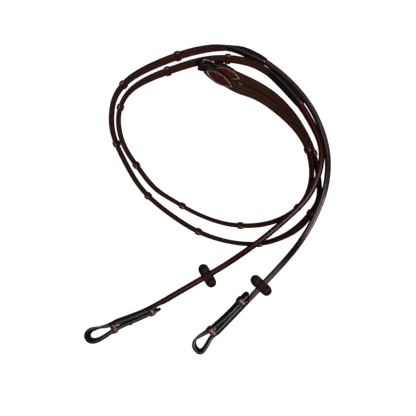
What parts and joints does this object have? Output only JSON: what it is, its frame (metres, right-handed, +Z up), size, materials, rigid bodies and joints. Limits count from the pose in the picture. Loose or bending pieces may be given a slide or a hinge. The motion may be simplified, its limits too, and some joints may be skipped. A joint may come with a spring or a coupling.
{
  "type": "riding reins",
  "caption": "Riding reins coiled flat: leather runs with rein stops and folded bit loops, ribbed web grips with leather hand stops, and a buckled centre.",
  "frame": {"origin": "middle of the coil's outline, on the surface it lies on", "axes": "+Y from the bit loops to the centre buckle, +X to the right of that, +Z up"},
  "size_m": [0.3572, 0.4535, 0.0391],
  "materials": {
    "black_leather": "satin",
    "red_leather": "satin",
    "brown_leather": "satin",
    "leaf_leather": "satin",
    "webbing": "matte",
    "filler_cord": "matte",
    "thread": "matte",
    "steel": "polished"
  },
  "bodies": {
    "reins": {"leather_backing_a": "red_leather", "rolled_front_a": "black_leather", "raised_filler_a": "filler_cord", "bit_strap_a": "black_leather", "loop_keeper_a": "brown_leather", "tip_keeper_a": "brown_leather", "hook_stud_a": "steel", "stud_burr_a": "steel", "splice_a": "black_leather", "web_grip_a": "webbing", "hand_stop_a_1": "brown_leather", "hand_stop_a_2": "brown_leather", "hand_stop_a_3": "brown_leather", "hand_stop_a_4": "brown_leather", "hand_stop_a_5": "brown_leather", "hand_stop_a_6": "brown_leather", "hand_stop_a_7": "brown_leather", "hand_stop_a_8": "brown_leather", "leaf_a": "leaf_leather", "inlay_a": "red_leather", "leather_backing_b": "red_leather", "rolled_front_b": "black_leather", "raised_filler_b": "filler_cord", "bit_strap_b": "black_leather", "loop_keeper_b": "brown_leather", "tip_keeper_b": "brown_leather", "hook_stud_b": "steel", "stud_burr_b": "steel", "splice_b": "black_leather", "web_grip_b": "webbing", "hand_stop_b_1": "brown_leather", "hand_stop_b_2": "brown_leather", "hand_stop_b_3": "brown_leather", "hand_stop_b_4": "brown_leather", "hand_stop_b_5": "brown_leather", "hand_stop_b_6": "brown_leather", "hand_stop_b_7": "brown_leather", "hand_stop_b_8": "brown_leather", "leaf_b": "leaf_leather", "inlay_b": "red_leather", "centre_billet": "black_leather", "buckle_chape": "black_leather", "centre_keeper": "brown_leather"},
    "stop_slider_a": {"rein_stop_a": "black_leather", "stop_band_a": "brown_leather"},
    "stop_slider_b": {"rein_stop_b": "black_leather", "stop_band_b": "brown_leather"},
    "buckle": {"buckle_frame": "steel"},
    "tongue": {"buckle_tongue": "steel"}
  },
  "joints": [
    {"name": "rein_stop_slide_a", "type": "slide", "parent": "reins", "child": "stop_slider_a", "axis": [0.8669, 0.4985, 0], "range_m": [-0.032, 0]},
    {"name": "rein_stop_slide_b", "type": "slide", "parent": "reins", "child": "stop_slider_b", "axis": [0.6824, 0.7289, 0.0546], "range_m": [-0.011, 0.008]},
    {"name": "buckle_swing", "type": "hinge", "parent": "reins", "child": "buckle", "pos_m": [0.0084, 0.1895, 0.0187], "axis": [-0.1801, -0.8471, -0.5], "range_deg": [0, 7]},
    {"name": "tongue_swing", "type": "hinge", "parent": "buckle", "child": "tongue", "pos_m": [0.0084, 0.1895, 0.0187], "axis": [-0.1801, -0.8471, -0.5], "range_deg": [0, 6]}
  ]
}
